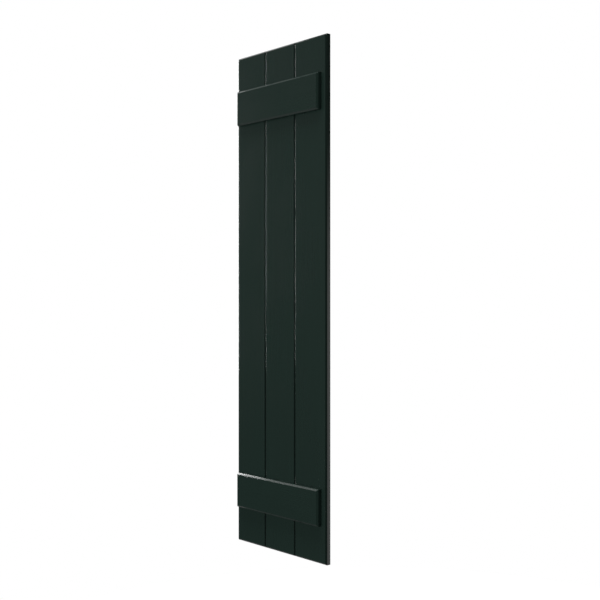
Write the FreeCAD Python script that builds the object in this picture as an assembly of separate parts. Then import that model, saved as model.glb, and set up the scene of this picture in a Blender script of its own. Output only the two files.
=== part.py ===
import FreeCAD, Part
import os

V = FreeCAD.Vector

# Overall size in mm: X runs across the shutter, Y into the wall, Z up.
# The back lies on Y = 0 and the front faces -Y.
width = 273.0
height = 1041.0

# Boards: three of one width, side by side, full height, all front edges bevelled.
board_names = ["left_board", "middle_board", "right_board"]
board_thick = 12.0
bevel = 3.3

# Joints between neighbouring boards: a V made by smaller bevels, with a tongue and groove behind it.
joint_bevel = 2.5
tongue_thick = 4.0
tongue_reach = 6.0
tongue_lead = 0.8
shoulder_gap = 0.1
cheek_gap = 0.15
tip_gap = 0.8

# Battens: one near each end, flat on the front of the boards, set a little to the left of the middle.
batten_thick = 11.0
batten_height = 73.0
batten_side_inset = 11.3
batten_shift = -2.4
batten_end_inset = 74.7

# Countersunk screw holes from behind: a diagonal pair where a board meets a batten.
screw_clear_dia = 4.0
screw_head_dia = 7.4
screw_pilot_dia = 2.6
screw_pilot_deep = 8.0
screw_spread_x = 40.0
screw_spread_z = 32.0

half_width = width / 2.0
half_height = height / 2.0
front = -board_thick
pitch = width / len(board_names)
tongue_mid = -(board_thick - joint_bevel) / 2.0
batten_left = batten_shift - half_width + batten_side_inset
batten_right = batten_shift + half_width - batten_side_inset
batten_mid = half_height - batten_end_inset - batten_height / 2.0


def board_span(place):
    """Left and right edge of a board; inner edges keep half a shoulder gap from the joint line."""
    x_lo = -half_width + place * pitch
    x_hi = x_lo + pitch
    if place > 0:
        x_lo += shoulder_gap / 2.0
    if place < len(board_names) - 1:
        x_hi -= shoulder_gap / 2.0
    return x_lo, x_hi


def tongue_outline(x_root):
    """Points round a tongue, front to back, its tip eased to enter the groove."""
    half = tongue_thick / 2.0
    x_tip = x_root + tongue_reach
    return [
        (x_root, tongue_mid - half),
        (x_tip - tongue_lead, tongue_mid - half),
        (x_tip, tongue_mid - half + tongue_lead),
        (x_tip, tongue_mid + half - tongue_lead),
        (x_tip - tongue_lead, tongue_mid + half),
        (x_root, tongue_mid + half),
    ]


def groove_outline(x_mouth):
    """Points round a groove, back to front, with room for the neighbour's tongue."""
    half = tongue_thick / 2.0 + cheek_gap
    x_floor = x_mouth + tongue_reach - shoulder_gap + tip_gap
    return [
        (x_mouth, tongue_mid + half),
        (x_floor, tongue_mid + half),
        (x_floor, tongue_mid - half),
        (x_mouth, tongue_mid - half),
    ]


def board_outline(place):
    """A board's cross section: bevelled front, tongue on the right, groove on the left."""
    x_lo, x_hi = board_span(place)
    left = joint_bevel if place > 0 else bevel
    right = joint_bevel if place < len(board_names) - 1 else bevel
    points = [(x_lo, front + left), (x_lo + left, front), (x_hi - right, front), (x_hi, front + right)]
    if place < len(board_names) - 1:
        points += tongue_outline(x_hi)
    points += [(x_hi, 0.0), (x_lo, 0.0)]
    if place > 0:
        points += groove_outline(x_lo)
    return points


def end_wedge(end):
    """What the bevel takes off the boards' front at one end: end is 1 at the top and -1 at the bottom."""
    z_end = end * half_height
    spare = 1.0
    corners = [
        V(-width, front - spare, z_end + end * spare),
        V(-width, front + bevel + spare, z_end + end * spare),
        V(-width, front - spare, z_end - end * (bevel + spare)),
    ]
    return Part.Face(Part.makePolygon(corners + corners[:1])).extrude(V(2.0 * width, 0, 0))


def bevel_rim(shape, y_front):
    """Bevel all the edges that bound the front face."""
    rim = []
    for edge in shape.Edges:
        if all(abs(vertex.Y - y_front) < 1e-6 for vertex in edge.Vertexes):
            rim.append(edge)
    return shape.makeChamfer(bevel, rim)


def screw_places(place, z_mid):
    """Where the two screws go through one board into the batten at z_mid."""
    x_lo, x_hi = board_span(place)
    x_mid = (max(x_lo, batten_left) + min(x_hi, batten_right)) / 2.0
    return [(x_mid + side * screw_spread_x / 2.0, z_mid + side * screw_spread_z / 2.0) for side in (-1, 1)]


def screw_hole(x, z):
    """A clearance hole through a board with a 90 degree countersink in its back."""
    shank = Part.makeCylinder(screw_clear_dia / 2.0, board_thick, V(x, 0, z), V(0, -1, 0))
    sink_deep = (screw_head_dia - screw_clear_dia) / 2.0
    sink = Part.makeCone(screw_head_dia / 2.0, screw_clear_dia / 2.0, sink_deep, V(x, 0, z), V(0, -1, 0))
    return shank.fuse(sink)


def board(place):
    """One full-height board, moulded along its length, bevelled at both ends and drilled."""
    points = [V(x, y, -half_height) for x, y in board_outline(place)]
    section = Part.Face(Part.makePolygon(points + points[:1]))
    shape = section.extrude(V(0, 0, height))
    for end in (-1, 1):
        shape = shape.cut(end_wedge(end))
    for z_mid in (batten_mid, -batten_mid):
        for x, z in screw_places(place, z_mid):
            shape = shape.cut(screw_hole(x, z))
    return shape


def batten(z_mid):
    """A cross batten, flat on the boards, with blind pilot holes in its back."""
    corner = V(batten_left, front - batten_thick, z_mid - batten_height / 2.0)
    blank = Part.makeBox(batten_right - batten_left, batten_thick, batten_height, corner)
    shape = bevel_rim(blank, front - batten_thick)
    for place in range(len(board_names)):
        for x, z in screw_places(place, z_mid):
            pilot = Part.makeCylinder(screw_pilot_dia / 2.0, screw_pilot_deep, V(x, front, z), V(0, -1, 0))
            shape = shape.cut(pilot)
    return shape


pieces = {}
for place, name in enumerate(board_names):
    pieces[name] = board(place)
pieces["top_batten"] = batten(batten_mid)
pieces["bottom_batten"] = batten(-batten_mid)

os.makedirs("parts", exist_ok=True)
for name, shape in pieces.items():
    shape.exportStep("parts/" + name + ".step")
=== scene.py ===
"""Looks of a board and batten shutter: eased painted boards and battens, and the screws behind."""
import math

import bmesh
import bpy
from bpy.props import FloatProperty, FloatVectorProperty, IntProperty, PointerProperty
from mathutils import Matrix, Vector


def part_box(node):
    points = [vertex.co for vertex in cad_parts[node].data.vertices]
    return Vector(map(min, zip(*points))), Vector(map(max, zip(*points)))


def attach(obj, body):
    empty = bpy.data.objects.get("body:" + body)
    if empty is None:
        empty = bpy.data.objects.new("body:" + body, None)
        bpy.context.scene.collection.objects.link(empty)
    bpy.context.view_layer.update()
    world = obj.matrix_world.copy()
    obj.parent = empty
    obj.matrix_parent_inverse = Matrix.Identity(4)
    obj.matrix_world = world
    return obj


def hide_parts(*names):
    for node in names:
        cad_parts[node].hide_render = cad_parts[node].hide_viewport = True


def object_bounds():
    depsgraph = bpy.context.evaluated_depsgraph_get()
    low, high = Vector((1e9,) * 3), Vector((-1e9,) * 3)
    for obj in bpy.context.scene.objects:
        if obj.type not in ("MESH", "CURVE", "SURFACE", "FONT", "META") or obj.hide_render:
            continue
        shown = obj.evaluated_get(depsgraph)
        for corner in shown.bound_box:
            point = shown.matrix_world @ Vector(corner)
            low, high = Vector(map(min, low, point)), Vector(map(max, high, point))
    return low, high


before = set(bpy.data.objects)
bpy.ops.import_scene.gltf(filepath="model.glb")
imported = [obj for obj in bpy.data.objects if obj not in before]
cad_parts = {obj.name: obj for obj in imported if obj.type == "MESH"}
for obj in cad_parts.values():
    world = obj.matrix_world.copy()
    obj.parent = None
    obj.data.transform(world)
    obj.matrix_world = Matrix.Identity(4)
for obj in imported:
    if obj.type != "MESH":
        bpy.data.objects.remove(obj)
CAD_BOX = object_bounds()

bl_info = {
    "name": "Board and Batten Shutter",
    "version": (1, 0, 0),
    "blender": (4, 5, 0),
    "location": "3D View > Sidebar > Shutter",
    "description": "Finishes the boards, battens and screws of a painted shutter and sets its stage",
    "category": "Object",
}

BOARDS = ("left_board", "middle_board", "right_board")
BATTENS = ("top_batten", "bottom_batten")

# Y of the boards' front, on which the battens lie, and of their back. All lengths are in metres.
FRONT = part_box(BOARDS[0])[0].y
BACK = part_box(BOARDS[0])[1].y

# Points nearer than this are one point, and coordinates nearer than this are equal.
SAME = 1e-6

# Faces that meet at less than this angle are made one.
FLAT_ANGLE = math.radians(1.0)

# Edges are eased where they are sharper than this angle and longer than the short edges round a hole.
SHARP_ANGLE = math.radians(20.0)
ARRIS_LEAST = 0.0023
# Edges between these shares of a board's thickness, from the front and from the back, are inside a joint.
JOINT_FROM_FRONT = 0.38
JOINT_FROM_BACK = 0.18
# Back edges at a joint run the length of a board and keep this far from the shutter's sides.
LONG_EDGE = 0.5
SIDE_MARGIN = 0.001

# How the paint's pattern moves from piece to piece, so that no two pieces look alike.
BOARD_SHIFT = (0.31, 0.17, 0.73)
BATTEN_SHIFTS = ((0.5, 0.4, 0.2), (1.5, 0.4, 0.2))
# Turns that lay the brush marks along a board and along a batten.
ALONG_Z = (0.0, 0.0, 0.0)
ALONG_X = (0.0, math.radians(90.0), 0.0)

# Paint film: how brush marks are drawn out, and the shares of the noises in its thickness and its relief.
PAINT_IOR = 1.5
GRAIN_STRETCH = (1.0, 1.0, 0.015)
CLOUD_SHARE = 0.65
CLOUD_BASE = 0.175
STREAK_SHARE = 0.35
RIPPLE_SHARE = 0.55
# Each of these ranges is a smooth step: two places, then the values before and after it.
TONE_RANGE = (0.38, 0.98, 0.0, 1.0)
SHEEN_RANGE = (0.3, 0.7, 0.86, 1.14)
# Y at which the boards' bevels start and end, where painted shade darkens the film, and the coat of the
# back starts.
BEVEL_START = (FRONT + 0.0002, FRONT + 0.0012, 0.0, 1.0)
BEVEL_END = (FRONT + 0.0030, FRONT + 0.0036, 1.0, 0.0)
BACK_COAT = (-0.0008, -0.0001, 0.0, 1.0)
# Distance from a joint's middle at which its V, with its deeper painted shade, ends.
JOINT_END = (0.0021, 0.0027, 1.0, 0.0)
FILM_INPUTS = {
    "Along Grain": "NodeSocketVector",
    "Place": "NodeSocketVector",
    "Thin Colour": "NodeSocketColor",
    "Thick Colour": "NodeSocketColor",
    "Roughness": "NodeSocketFloat",
    "Back Roughness": "NodeSocketFloat",
    "Joint Painted Shade": "NodeSocketFloat",
    "Bevel Painted Shade": "NodeSocketFloat",
}
FILM_OUTPUTS = {
    "Color": "NodeSocketColor",
    "Sheen": "NodeSocketFloat",
    "Height": "NodeSocketFloat",
}
# Sockets of a Mix node for each kind of data: first input, second input and result.
MIX_SOCKETS = {"FLOAT": (2, 3, 0), "RGBA": (6, 7, 2)}

# Countersinks: how far they keep from the ends of a board, and what their points lie within.
END_MARGIN = 0.01
SINK_SPAN = 0.012

# Screws: clearance round the head and before the batten, then the threaded core and the tip,
# each with its share of the radius before it and its length, then the recess.
SCREW_SIDES = 24
HEAD_GAP = 0.00003
SHANK_GAP = 0.0001
CORE_SHARE = 0.62
CORE_LONG = 0.0062
TIP_SHARE = 0.3
TIP_LONG = 0.0012
LOBES = 6
LOBE_SWELL = 0.16
RECESS_TAPER = 0.82
RECESS_DEEP = 0.0011
# Each screw is turned by this much more than the one before it, in radians.
SCREW_TURN = 0.9

# Lamps, under the switch that hides them from one kind of ray: name, place, aim, width and height, the
# power they draw on and their share of it. The side softbox's lower panels leave a gap, so that the
# shutter's left edge doesn't mirror them when it is seen square on.
LAMPS = {
    "visible_diffuse": (
        ("side_softbox_top", (-2.6, -0.02, 1.45), (0.0, -0.02, 1.45), (1.36, 0.30), "side", 0.152),
        ("side_softbox_front", (-2.6, -0.475, 0.465), (0.0, -0.475, 0.465), (0.55, 1.67), "side", 0.44),
        ("side_softbox_back", (-2.6, 0.455, 0.465), (0.0, 0.455, 0.465), (0.51, 1.67), "side", 0.41),
    ),
    "visible_camera": (
        ("side_reflector", (-2.6, -0.1, 2.2), (0.0, -0.1, 0.2), (2.6, 1.2), "side", 0.039),
        ("top_softbox", (0.0, -0.7, 4.5), (0.0, -0.7, 0.0), (3.0, 2.4), "top", 1.0),
    ),
    "visible_glossy": (
        ("front_fill", (-0.2, -3.2, -0.3), (0.0, 0.0, 0.0), (1.5, 2.2), "front", 1.0),
        ("right_fill", (3.0, -0.1, 0.2), (0.0, 0.0, 0.0), (1.6, 2.2), "right", 1.0),
        ("back_fill", (-2.4, 2.2, 0.9), (0.0, 0.0, 0.0), (1.5, 2.2), "back", 1.0),
    ),
}

# World: smooth steps along an axis of a ray's direction, with the values before and after each.
SKY = (-0.1, 0.3, 0.025, 0.075)
GROUND = (-0.25, -0.6, 0.0, 0.22)
AHEAD = (-0.63, -0.74, 0.0, 0.03)
RIGHTWARD = (-0.3, 0.6, 1.0, 0.4)
BACKDROP_BEHIND = (0.40, 0.62, 0.0, 1.0)
BACKDROP_LOW = (0.0, 0.19, 1.0, 0.0)
BACKDROP_RIGHT = (0.35, 0.55, 0.0, 1.0)

# Floor: a disc, set a little behind and to the right of the shutter's foot. Its glow is a smooth step
# outwards from the foot.
# It is weaker near the foot, which paints a pool of shade there besides the real shadow the floor takes.
FLOOR_SIDES = 96
FLOOR_RADIUS = 1.25
FLOOR_SHIFT = (0.2, 0.15, 0.0)
FLOOR_GREY = (0.4, 0.4, 0.4, 1.0)
FLOOR_GLOW_PAST_PAINTED_POOL = (0.1, 1.0, 0.42, 1.0)
WHITE = (1.0, 1.0, 1.0, 1.0)

# Width of the camera's sensor, in millimetres.
SENSOR_WIDTH = 36.0


class ShutterPaint(bpy.types.PropertyGroup):
    """The paint on every piece."""

    colour: FloatVectorProperty(
        name="Colour",
        description="Colour of the paint where its film is of middling thickness",
        default=(0.0124, 0.0245, 0.0200),
        min=0.0,
        max=1.0,
        subtype="COLOR",
    )
    roughness: FloatProperty(
        name="Roughness",
        description="Middle roughness of the satin film",
        default=0.15,
        min=0.02,
        max=1.0,
        subtype="FACTOR",
    )
    back_roughness: FloatProperty(
        name="Back Roughness",
        description="Middle roughness of the thinner, duller coat on the back",
        default=0.42,
        min=0.02,
        max=1.0,
        subtype="FACTOR",
    )
    tone: FloatProperty(
        name="Tone",
        description="How far the colour drifts lighter and darker over a board",
        default=0.10,
        min=0.0,
        max=0.5,
        subtype="FACTOR",
    )
    # Painted shade: the film is darkened in the V of each joint.
    joint_painted_shade: FloatProperty(
        name="Joint Painted Shade",
        description="How much darker the film is where it gathers in the V of a joint",
        default=0.65,
        min=0.0,
        max=1.0,
        subtype="FACTOR",
    )
    # Painted shade: the film is darkened on the boards' other bevels.
    bevel_painted_shade: FloatProperty(
        name="Bevel Painted Shade",
        description="How much darker the film is on the other bevels of the boards",
        default=0.42,
        min=0.0,
        max=1.0,
        subtype="FACTOR",
    )
    relief: FloatProperty(
        name="Relief",
        description="Height of the brush marks and of the film's fine ripple",
        default=0.00002,
        min=0.0,
        max=0.0005,
        unit="LENGTH",
    )


class ShutterMaking(bpy.types.PropertyGroup):
    """Sizes of the making that the CAD solids leave sharp or plain."""

    arris: FloatProperty(
        name="Arris",
        description="How far the rounding of an edge reaches into each face beside it",
        default=0.00024,
        min=0.00005,
        max=0.001,
        unit="LENGTH",
    )
    back_arris: FloatProperty(
        name="Back Arris",
        description="The same for the long back edges where boards meet, which are eased more",
        default=0.0007,
        min=0.00005,
        max=0.002,
        unit="LENGTH",
    )
    arris_segments: IntProperty(
        name="Arris Segments",
        description="Faces across the rounding of an edge",
        default=3,
        min=1,
        max=6,
    )
    screw_set: FloatProperty(
        name="Screw Set",
        description="How far a screw head sits below the back of the boards",
        default=0.00012,
        min=0.0,
        max=0.001,
        unit="LENGTH",
    )
    shank_radius: FloatProperty(
        name="Shank Radius",
        description="Radius of a screw's plain shank in its clearance hole",
        default=0.0019,
        min=0.001,
        max=0.003,
        unit="LENGTH",
    )
    recess_radius: FloatProperty(
        name="Recess Radius",
        description="Middle radius of the six-lobed recess in a screw head",
        default=0.00165,
        min=0.0005,
        max=0.003,
        unit="LENGTH",
    )


class ShutterStage(bpy.types.PropertyGroup):
    """Camera, lamps, floor and surroundings."""

    view_angle: FloatProperty(
        name="View Angle",
        description="How far the camera looks round from the shutter's front, towards its right side",
        default=math.radians(47.074),
        subtype="ANGLE",
    )
    camera_place: FloatVectorProperty(
        name="Camera Place",
        description="Where the camera stands, level with the shutter's middle",
        default=(1.4393, -1.2932, -0.0013),
        subtype="XYZ",
        unit="LENGTH",
    )
    lens: FloatProperty(
        name="Lens",
        description="Focal length on a 36 mm sensor",
        default=56.116,
        min=10.0,
        max=300.0,
        unit="CAMERA",
    )
    floor_drop: FloatProperty(
        name="Floor Drop",
        description="Height of the shutter's lower end above the floor, as it hangs",
        default=0.38,
        min=0.0,
        max=2.0,
        unit="LENGTH",
    )
    side_power: FloatProperty(
        name="Side Softbox",
        description="Power shared out over the panels of the tall softbox at the shutter's left",
        default=197.0,
        min=0.0,
        unit="POWER",
    )
    top_power: FloatProperty(
        name="Top Softbox",
        description="Power of the softbox overhead",
        default=240.0,
        min=0.0,
        unit="POWER",
    )
    front_power: FloatProperty(
        name="Front Fill",
        description="Power of the broad fill in front; it lights the paint but not its gloss",
        default=72.0,
        min=0.0,
        unit="POWER",
    )
    right_power: FloatProperty(
        name="Right Fill",
        description="Power of the weak fill at the right; it lights the paint but not its gloss",
        default=12.0,
        min=0.0,
        unit="POWER",
    )
    back_power: FloatProperty(
        name="Back Fill",
        description="Power of the broad fill behind; it lights the paint but not its gloss",
        default=84.0,
        min=0.0,
        unit="POWER",
    )


def lies_at(edge, y):
    """True for an edge whose ends both have this Y."""
    return all(abs(vert.co.y - y) < SAME for vert in edge.verts)


def eased(edge):
    """True for an outward corner between two faces, sharp and long enough to need easing."""
    if len(edge.link_faces) != 2 or not edge.is_convex or edge.calc_length() <= ARRIS_LEAST:
        return False
    return edge.calc_face_angle() > SHARP_ANGLE


def board_arris(edge):
    """True for an edge of a board that is eased: any but those inside a joint."""
    thick = BACK - FRONT
    low = FRONT + JOINT_FROM_FRONT * thick
    high = BACK - JOINT_FROM_BACK * thick
    in_joint = all(low < vert.co.y < high for vert in edge.verts)
    return eased(edge) and not in_joint


def joint_back_arris(edge):
    """True for a long back edge of a board where it meets another."""
    low = CAD_BOX[0].x + SIDE_MARGIN
    high = CAD_BOX[1].x - SIDE_MARGIN
    inner = all(low < vert.co.x < high for vert in edge.verts)
    return eased(edge) and lies_at(edge, BACK) and inner and edge.calc_length() > LONG_EDGE


def batten_arris(edge):
    """True for an edge of a batten that is eased: any but those that lie on the boards."""
    return eased(edge) and not lies_at(edge, FRONT)


def piece_from(bm, name):
    """Turn a bmesh into a painted piece of the shutter."""
    mesh = bpy.data.meshes.new(name)
    bm.to_mesh(mesh)
    bm.free()
    piece = bpy.data.objects.new(name, mesh)
    bpy.context.scene.collection.objects.link(piece)
    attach(piece, "root")
    return piece


def ease(bm, edges, reach):
    """Round edges of a bmesh; gives the faces of the rounding."""
    rounding = bmesh.ops.bevel(
        bm,
        geom=edges,
        offset=reach,
        offset_type="OFFSET",
        affect="EDGES",
        segments=bpy.context.scene.shutter_making.arris_segments,
        profile=0.5,
        material=-1,
    )
    for face in rounding["faces"]:
        face.smooth = True
    return set(rounding["faces"])


def eased_copy(node_name, chosen, wide=None):
    """A merged copy that takes a CAD node's place, with chosen edges rounded and wide ones rounded more."""
    making = bpy.context.scene.shutter_making
    bm = bmesh.new()
    bm.from_mesh(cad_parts[node_name].data)
    bmesh.ops.remove_doubles(bm, verts=bm.verts, dist=SAME)
    bmesh.ops.dissolve_limit(bm, angle_limit=FLAT_ANGLE, verts=bm.verts, edges=bm.edges)
    for face in bm.faces:
        face.smooth = False
    done = set()
    if wide:
        done = ease(bm, [edge for edge in bm.edges if wide(edge)], making.back_arris)
    edges = [edge for edge in bm.edges if chosen(edge) and done.isdisjoint(edge.link_faces)]
    if not edges:
        raise RuntimeError("no edge to ease on " + node_name)
    ease(bm, edges, making.arris)
    bmesh.ops.remove_doubles(bm, verts=bm.verts, dist=SAME)
    bmesh.ops.dissolve_degenerate(bm, dist=SAME, edges=bm.edges)
    piece = piece_from(bm, node_name + "_painted")
    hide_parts(node_name)
    return piece


def feed(tree, socket, value):
    """Link another node's socket to an input, or set the input to a value."""
    if isinstance(value, bpy.types.NodeSocket):
        tree.links.new(value, socket)
    else:
        socket.default_value = value


def feed_all(tree, node, inputs):
    """Feed a node's inputs by their names."""
    for name, value in inputs.items():
        feed(tree, node.inputs[name], value)


def new_node(tree, kind, place, **inputs):
    """Add a shader node and feed the inputs that are named."""
    node = tree.nodes.new(kind)
    node.location = place
    feed_all(tree, node, inputs)
    return node


def scalar(tree, operation, place, *values):
    """A Math node; each of its values is a number or a socket."""
    node = new_node(tree, "ShaderNodeMath", place)
    node.operation = operation
    for socket, value in zip(node.inputs, values):
        feed(tree, socket, value)
    return node.outputs["Value"]


def ramp(tree, place, value, steps):
    """A smooth Map Range; steps are the two places on the way in and the two values that come out."""
    node = new_node(tree, "ShaderNodeMapRange", place, Value=value)
    node.interpolation_type = "SMOOTHSTEP"
    for name, step in zip(("From Min", "From Max", "To Min", "To Max"), steps):
        node.inputs[name].default_value = step
    return node.outputs["Result"]


def mixed(tree, kind, place, factor, first, second, blend="MIX"):
    """A Mix node for numbers or colours; factor, first and second are each a value or a socket."""
    node = new_node(tree, "ShaderNodeMix", place, Factor=factor)
    node.data_type = kind
    node.blend_type = blend
    first_at, second_at, result_at = MIX_SOCKETS[kind]
    feed(tree, node.inputs[first_at], first)
    feed(tree, node.inputs[second_at], second)
    return node.outputs[result_at]


def painted_bevel_shade(group, axes, given):
    """How much painted shade darkens the film: most in the V of a joint, and less on the boards' other
    bevels.
    """
    into = ramp(group, (-260, 640), axes["Y"], BEVEL_START)
    past = ramp(group, (-260, 460), axes["Y"], BEVEL_END)
    bevels = scalar(group, "MULTIPLY", (-60, 560), into, past)
    joint_x = CAD_BOX[1].x / len(BOARDS)
    from_middle = scalar(group, "ABSOLUTE", (-260, 860), axes["X"])
    from_joint = scalar(group, "SUBTRACT", (-100, 860), from_middle, joint_x)
    from_joint = scalar(group, "ABSOLUTE", (60, 860), from_joint)
    joint = ramp(group, (220, 860), from_joint, JOINT_END)
    shade = mixed(group, "FLOAT", (120, 640), joint, given["Bevel Painted Shade"], given["Joint Painted Shade"])
    return scalar(group, "MULTIPLY", (280, 560), bevels, shade)


def paint_film():
    """Node group for a brushed satin film: drifting tone and sheen, brush marks and painted shade on the
    bevels.
    """
    group = bpy.data.node_groups.get("paint_film")
    if group:
        return group
    group = bpy.data.node_groups.new("paint_film", "ShaderNodeTree")
    for name, kind in FILM_INPUTS.items():
        group.interface.new_socket(name, in_out="INPUT", socket_type=kind)
    for name, kind in FILM_OUTPUTS.items():
        group.interface.new_socket(name, in_out="OUTPUT", socket_type=kind)
    given = new_node(group, "NodeGroupInput", (-900, 0)).outputs
    grain = given["Along Grain"]
    long_grain = new_node(group, "ShaderNodeMapping", (-700, 200), Vector=grain, Scale=GRAIN_STRETCH)
    long_grain = long_grain.outputs["Vector"]
    noise = "ShaderNodeTexNoise"
    marks = new_node(group, noise, (-480, 260), Vector=long_grain, Scale=420.0, Detail=3.0, Roughness=0.6)
    clouds = new_node(group, noise, (-480, -20), Vector=grain, Scale=7.0, Detail=4.0, Roughness=0.55)
    ripple = new_node(group, noise, (-480, -300), Vector=grain, Scale=520.0, Detail=1.5, Roughness=0.5)
    axes = new_node(group, "ShaderNodeSeparateXYZ", (-480, 700), Vector=given["Place"]).outputs

    drift = scalar(group, "MULTIPLY_ADD", (-60, 60), clouds.outputs["Fac"], CLOUD_SHARE, CLOUD_BASE)
    streaks = scalar(group, "MULTIPLY", (-60, 240), marks.outputs["Fac"], STREAK_SHARE)
    thick = scalar(group, "ADD", (120, 160), drift, streaks)
    thick = ramp(group, (280, 160), thick, TONE_RANGE)
    tone = mixed(group, "RGBA", (420, 160), thick, given["Thin Colour"], given["Thick Colour"])
    # Painted shade: the colour is darkened on the boards' bevels, most in the V of each joint.
    kept = scalar(group, "SUBTRACT", (440, 460), 1.0, painted_bevel_shade(group, axes, given))
    colour = mixed(group, "RGBA", (600, 240), 1.0, tone, kept, "MULTIPLY")

    behind = ramp(group, (-60, -120), axes["Y"], BACK_COAT)
    coat = mixed(group, "FLOAT", (120, -180), behind, given["Roughness"], given["Back Roughness"])
    sheen = ramp(group, (120, -60), clouds.outputs["Fac"], SHEEN_RANGE)
    sheen = scalar(group, "MULTIPLY", (300, -60), sheen, coat)

    height = scalar(group, "MULTIPLY", (120, -300), ripple.outputs["Fac"], RIPPLE_SHARE)
    height = scalar(group, "ADD", (300, -260), height, marks.outputs["Fac"])
    new_node(group, "NodeGroupOutput", (800, 0), Color=colour, Sheen=sheen, Height=height)
    return group


def paint(name, turn, shift):
    """Satin paint on one piece; turn lays the brush marks along it, and shift moves the pattern."""
    look = bpy.context.scene.shutter_paint
    material = bpy.data.materials.new(name)
    material.use_nodes = True
    tree = material.node_tree
    place = new_node(tree, "ShaderNodeTexCoord", (-1100, 0)).outputs["Object"]
    grain = new_node(tree, "ShaderNodeMapping", (-900, 0), Vector=place, Location=shift, Rotation=turn)
    film = new_node(tree, "ShaderNodeGroup", (-640, 0))
    film.node_tree = paint_film()
    feed_all(tree, film, {
        "Along Grain": grain.outputs["Vector"],
        "Place": place,
        "Thin Colour": [part * (1.0 + look.tone) for part in look.colour] + [1.0],
        "Thick Colour": [part * (1.0 - look.tone) for part in look.colour] + [1.0],
        "Roughness": look.roughness,
        "Back Roughness": look.back_roughness,
        "Joint Painted Shade": look.joint_painted_shade,
        "Bevel Painted Shade": look.bevel_painted_shade,
    })
    bump = new_node(tree, "ShaderNodeBump", (-320, -260), Strength=1.0, Distance=look.relief)
    feed(tree, bump.inputs["Height"], film.outputs["Height"])
    feed_all(tree, tree.nodes["Principled BSDF"], {
        "Base Color": film.outputs["Color"],
        "Roughness": film.outputs["Sheen"],
        "IOR": PAINT_IOR,
        "Normal": bump.outputs["Normal"],
    })
    return material


class SHUTTER_OT_boards(bpy.types.Operator):
    """Ease and paint the three upright boards"""

    bl_idname = "shutter.boards"
    bl_label = "Boards"

    def execute(self, context):
        for place, name in enumerate(BOARDS):
            board = eased_copy(name, board_arris, joint_back_arris)
            shift = [place * step for step in BOARD_SHIFT]
            board.data.materials.append(paint(name + "_paint", ALONG_Z, shift))
        return {"FINISHED"}


class SHUTTER_OT_battens(bpy.types.Operator):
    """Ease and paint the two cross battens"""

    bl_idname = "shutter.battens"
    bl_label = "Battens"

    def execute(self, context):
        for name, shift in zip(BATTENS, BATTEN_SHIFTS):
            batten = eased_copy(name, batten_arris)
            batten.data.materials.append(paint(name + "_paint", ALONG_X, shift))
        return {"FINISHED"}


def countersinks(node_name):
    """Middle and radius of each countersink in the back of a board, read from the CAD node."""
    bm = bmesh.new()
    bm.from_mesh(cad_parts[node_name].data)
    bmesh.ops.remove_doubles(bm, verts=bm.verts, dist=SAME)
    low = CAD_BOX[0].z + END_MARGIN
    high = CAD_BOX[1].z - END_MARGIN
    rims = []
    for vert in bm.verts:
        if abs(vert.co.y - BACK) > SAME or not low < vert.co.z < high:
            continue
        for rim in rims:
            if (rim[0] - vert.co).length < SINK_SPAN:
                rim.append(vert.co.copy())
                break
        else:
            rims.append([vert.co.copy()])
    bm.free()
    found = []
    for rim in rims:
        middle = sum(rim, Vector()) / len(rim)
        found.append((middle, (rim[0] - middle).length))
    return found


def ring_of(bm, radius):
    """A circle round the Z axis; gives its points and its edges."""
    verts = bmesh.ops.create_circle(bm, cap_ends=False, segments=SCREW_SIDES, radius=radius)["verts"]
    edges = [edge for edge in bm.edges if all(vert in verts for vert in edge.verts)]
    return verts, edges


def drawn_out(bm, ring, shrink, deeper):
    """Extrude a ring of edges, shrink it and take it deeper; gives the new ring's points and edges."""
    made = bmesh.ops.extrude_edge_only(bm, edges=ring)["geom"]
    verts = [part for part in made if isinstance(part, bmesh.types.BMVert)]
    edges = [part for part in made if isinstance(part, bmesh.types.BMEdge)]
    bmesh.ops.scale(bm, vec=(shrink, shrink, 1.0), verts=verts)
    bmesh.ops.translate(bm, vec=(0.0, 0.0, -deeper), verts=verts)
    return verts, edges


def add_screw(bm, middle, head_radius, turn):
    """One flat-head screw with a lobed recess, its head just under the back of a board."""
    making = bpy.context.scene.shutter_making
    cone = head_radius - making.shank_radius
    steps = (
        (making.shank_radius / head_radius, cone),
        (1.0, BACK - FRONT - making.screw_set - SHANK_GAP - cone),
        (CORE_SHARE, 0.0),
        (1.0, CORE_LONG),
        (TIP_SHARE, TIP_LONG),
    )
    everything, head_ring = ring_of(bm, head_radius)
    ring = head_ring
    for shrink, deeper in steps:
        verts, ring = drawn_out(bm, ring, shrink, deeper)
        everything = everything + verts
    bmesh.ops.contextual_create(bm, geom=ring)
    star, mouth = ring_of(bm, making.recess_radius)
    for count, vert in enumerate(star):
        lobe = 1.0 + LOBE_SWELL * math.cos(LOBES * 2.0 * math.pi * count / SCREW_SIDES)
        bmesh.ops.scale(bm, vec=(lobe, lobe, 1.0), verts=[vert])
    bmesh.ops.bridge_loops(bm, edges=head_ring + mouth)
    floor, floor_ring = drawn_out(bm, mouth, RECESS_TAPER, RECESS_DEEP)
    bmesh.ops.contextual_create(bm, geom=floor_ring)
    place = Matrix.Translation(middle - Vector((0.0, making.screw_set, 0.0)))
    lean = Matrix.Rotation(math.radians(-90.0), 4, "X") @ Matrix.Rotation(turn, 4, "Z")
    bmesh.ops.transform(bm, matrix=place @ lean, verts=everything + star + floor)


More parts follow.
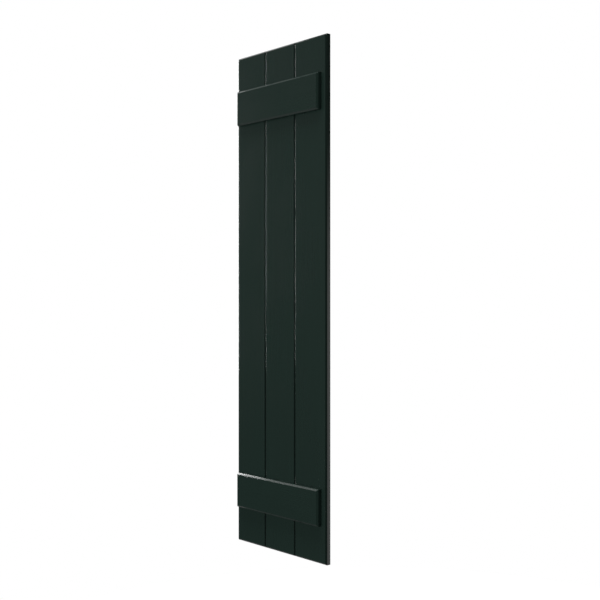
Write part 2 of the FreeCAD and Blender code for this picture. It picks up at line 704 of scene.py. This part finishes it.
class SHUTTER_OT_screws(bpy.types.Operator):
    """Set the screws that hold the battens, in the countersinks at the back"""

    bl_idname = "shutter.screws"
    bl_label = "Screws"

    def execute(self, context):
        around = context.scene.shutter_making.screw_set + HEAD_GAP
        sinks = [sink for name in BOARDS for sink in countersinks(name)]
        if not sinks:
            raise RuntimeError("no countersinks were found in the boards")
        bm = bmesh.new()
        for count, (middle, radius) in enumerate(sinks):
            add_screw(bm, middle, radius - around, SCREW_TURN * count)
        bmesh.ops.recalc_face_normals(bm, faces=bm.faces)
        for face in bm.faces:
            face.smooth = False
        screws = piece_from(bm, "batten_screws")
        screws.data.materials.append(paint("screw_paint", ALONG_Z, (0.0, 0.0, 0.0)))
        return {"FINISHED"}


def softbox(name, place, aim, size, power):
    """A soft rectangular lamp, aimed at a point and out of the camera's sight."""
    light = bpy.data.lights.new(name, "AREA")
    light.shape = "RECTANGLE"
    light.size, light.size_y = size
    light.energy = power
    lamp = bpy.data.objects.new(name, light)
    lamp.location = place
    lamp.rotation_euler = (Vector(aim) - Vector(place)).to_track_quat("-Z", "Y").to_euler()
    lamp.visible_camera = False
    bpy.context.scene.collection.objects.link(lamp)
    return lamp


def light_paths(tree, place):
    """Light Path outputs, and 1 for camera and transmission rays, which show the background itself."""
    path = new_node(tree, "ShaderNodeLightPath", place).outputs
    beside = (place[0] + 200, place[1])
    straight = scalar(tree, "MAXIMUM", beside, path["Is Camera Ray"], path["Is Transmission Ray"])
    return path, straight


def surroundings():
    """White to the camera, white low behind on the right to the gloss, and a dim studio to all else."""
    world = bpy.data.worlds.new("studio")
    bpy.context.scene.world = world
    world.use_nodes = True
    tree = world.node_tree
    where = new_node(tree, "ShaderNodeTexCoord", (-1300, 0)).outputs["Generated"]
    axes = new_node(tree, "ShaderNodeSeparateXYZ", (-1100, 0), Vector=where).outputs
    sky = ramp(tree, (-900, 200), axes["Z"], SKY)
    ground = ramp(tree, (-900, 440), axes["Z"], GROUND)
    ahead = ramp(tree, (-900, 900), axes["Y"], AHEAD)
    rightward = ramp(tree, (-680, 560), axes["X"], RIGHTWARD)
    dim = scalar(tree, "ADD", (-680, 300), sky, ground)
    dim = scalar(tree, "ADD", (-580, 400), dim, ahead)
    dim = scalar(tree, "MULTIPLY", (-460, 300), dim, rightward)
    behind = ramp(tree, (-900, -60), axes["Y"], BACKDROP_BEHIND)
    low = ramp(tree, (-900, -320), axes["Z"], BACKDROP_LOW)
    beside = ramp(tree, (-900, -580), axes["X"], BACKDROP_RIGHT)
    backdrop = scalar(tree, "MULTIPLY", (-680, -160), behind, low)
    backdrop = scalar(tree, "MULTIPLY", (-680, -400), backdrop, beside)
    path, straight = light_paths(tree, (-900, 720))
    mirrored = scalar(tree, "MULTIPLY", (-460, -160), backdrop, path["Is Glossy Ray"])
    white = scalar(tree, "MAXIMUM", (-460, 0), straight, mirrored)
    shown = mixed(tree, "FLOAT", (-240, 0), white, dim, 1.0)
    feed(tree, tree.nodes["Background"].inputs["Color"], shown)


def floor_material(foot):
    """Pale floor that takes a shadow and has a painted pool of shade round the foot. It passes into the
    white backdrop at its rim and is clear from below.
    """
    material = bpy.data.materials.new("pale_floor")
    material.use_nodes = True
    tree = material.node_tree
    tree.nodes.remove(tree.nodes["Principled BSDF"])
    path, straight = light_paths(tree, (-1000, 0))
    shown = scalar(tree, "MAXIMUM", (-600, 0), straight, path["Is Glossy Ray"])
    where = new_node(tree, "ShaderNodeTexCoord", (-1400, -300)).outputs["Object"]
    from_foot = new_node(tree, "ShaderNodeVectorMath", (-1200, -300))
    from_foot.operation = "DISTANCE"
    feed(tree, from_foot.inputs[0], where)
    feed(tree, from_foot.inputs[1], foot)
    # Painted shade: the glow is weaker near the shutter's foot, so a grey pool shows there beside the real
    # shadow.
    painted_pool_fade = ramp(tree, (-1000, -300), from_foot.outputs["Value"], FLOOR_GLOW_PAST_PAINTED_POOL)
    strength = scalar(tree, "MULTIPLY", (-440, 0), shown, painted_pool_fade)
    matt = new_node(tree, "ShaderNodeBsdfDiffuse", (-300, 120), Color=FLOOR_GREY)
    glow = new_node(tree, "ShaderNodeEmission", (-300, -60), Color=WHITE, Strength=strength)
    both = new_node(tree, "ShaderNodeAddShader", (-80, 0))
    feed(tree, both.inputs[0], matt.outputs["BSDF"])
    feed(tree, both.inputs[1], glow.outputs["Emission"])
    side = new_node(tree, "ShaderNodeNewGeometry", (-80, 260))
    clear = new_node(tree, "ShaderNodeBsdfTransparent", (-80, -160))
    seen = new_node(tree, "ShaderNodeMixShader", (120, 0))
    feed(tree, seen.inputs[0], side.outputs["Backfacing"])
    feed(tree, seen.inputs[1], both.outputs["Shader"])
    feed(tree, seen.inputs[2], clear.outputs["BSDF"])
    feed(tree, tree.nodes["Material Output"].inputs["Surface"], seen.outputs["Shader"])
    return material


def floor_disc(foot):
    """The floor under the shutter's foot; it shows to the camera but not in the gloss or the shading."""
    bm = bmesh.new()
    bmesh.ops.create_circle(bm, cap_ends=True, segments=FLOOR_SIDES, radius=FLOOR_RADIUS)
    bmesh.ops.translate(bm, vec=foot + Vector(FLOOR_SHIFT), verts=bm.verts)
    mesh = bpy.data.meshes.new("floor")
    bm.to_mesh(mesh)
    bm.free()
    floor = bpy.data.objects.new("floor", mesh)
    floor.data.materials.append(floor_material(foot))
    floor.visible_diffuse = False
    floor.visible_glossy = False
    bpy.context.scene.collection.objects.link(floor)
    return floor


def photo_camera(stage):
    """The camera that took the photograph, level and at the height of the shutter's middle."""
    lens = bpy.data.cameras.new("photo_camera")
    lens.sensor_width = SENSOR_WIDTH
    lens.lens = stage.lens
    camera = bpy.data.objects.new("photo_camera", lens)
    camera.location = stage.camera_place
    camera.rotation_euler = (math.radians(90.0), 0.0, stage.view_angle)
    bpy.context.scene.collection.objects.link(camera)
    return camera


class SHUTTER_OT_stage(bpy.types.Operator):
    """Set the camera, the lamps, the floor and the surroundings"""

    bl_idname = "shutter.stage"
    bl_label = "Stage"

    def execute(self, context):
        scene = context.scene
        stage = scene.shutter_stage
        scene.view_settings.view_transform = "Standard"
        scene.camera = photo_camera(stage)
        for hidden_from, lamps in LAMPS.items():
            for name, place, aim, size, whose, share in lamps:
                lamp = softbox(name, place, aim, size, share * getattr(stage, whose + "_power"))
                setattr(lamp, hidden_from, False)
        surroundings()
        floor = floor_disc(Vector((0.0, 0.0, CAD_BOX[0].z - stage.floor_drop)))
        return {"FINISHED"}


class SHUTTER_PT_parts(bpy.types.Panel):
    """Lists the shutter's pieces and their values"""

    bl_idname = "SHUTTER_PT_parts"
    bl_label = "Shutter"
    bl_space_type = "VIEW_3D"
    bl_region_type = "UI"
    bl_category = "Shutter"

    def draw(self, context):
        for operator in (SHUTTER_OT_boards, SHUTTER_OT_battens, SHUTTER_OT_screws, SHUTTER_OT_stage):
            self.layout.operator(operator.bl_idname)
        scene = context.scene
        for group in (scene.shutter_paint, scene.shutter_making, scene.shutter_stage):
            box = self.layout.box()
            for name in group.__annotations__:
                box.prop(group, name)


CLASSES = (
    ShutterPaint,
    ShutterMaking,
    ShutterStage,
    SHUTTER_OT_boards,
    SHUTTER_OT_battens,
    SHUTTER_OT_screws,
    SHUTTER_OT_stage,
    SHUTTER_PT_parts,
)


def register():
    """Register the classes and hang their values on the scene."""
    for cls in CLASSES:
        bpy.utils.register_class(cls)
    bpy.types.Scene.shutter_paint = PointerProperty(type=ShutterPaint)
    bpy.types.Scene.shutter_making = PointerProperty(type=ShutterMaking)
    bpy.types.Scene.shutter_stage = PointerProperty(type=ShutterStage)


def unregister():
    """Take the values and the classes away again."""
    del bpy.types.Scene.shutter_stage
    del bpy.types.Scene.shutter_making
    del bpy.types.Scene.shutter_paint
    for cls in reversed(CLASSES):
        bpy.utils.unregister_class(cls)


def main():
    register()
    bpy.ops.shutter.boards()
    bpy.ops.shutter.battens()
    bpy.ops.shutter.screws()
    bpy.ops.shutter.stage()


if __name__ == "__main__":
    main()
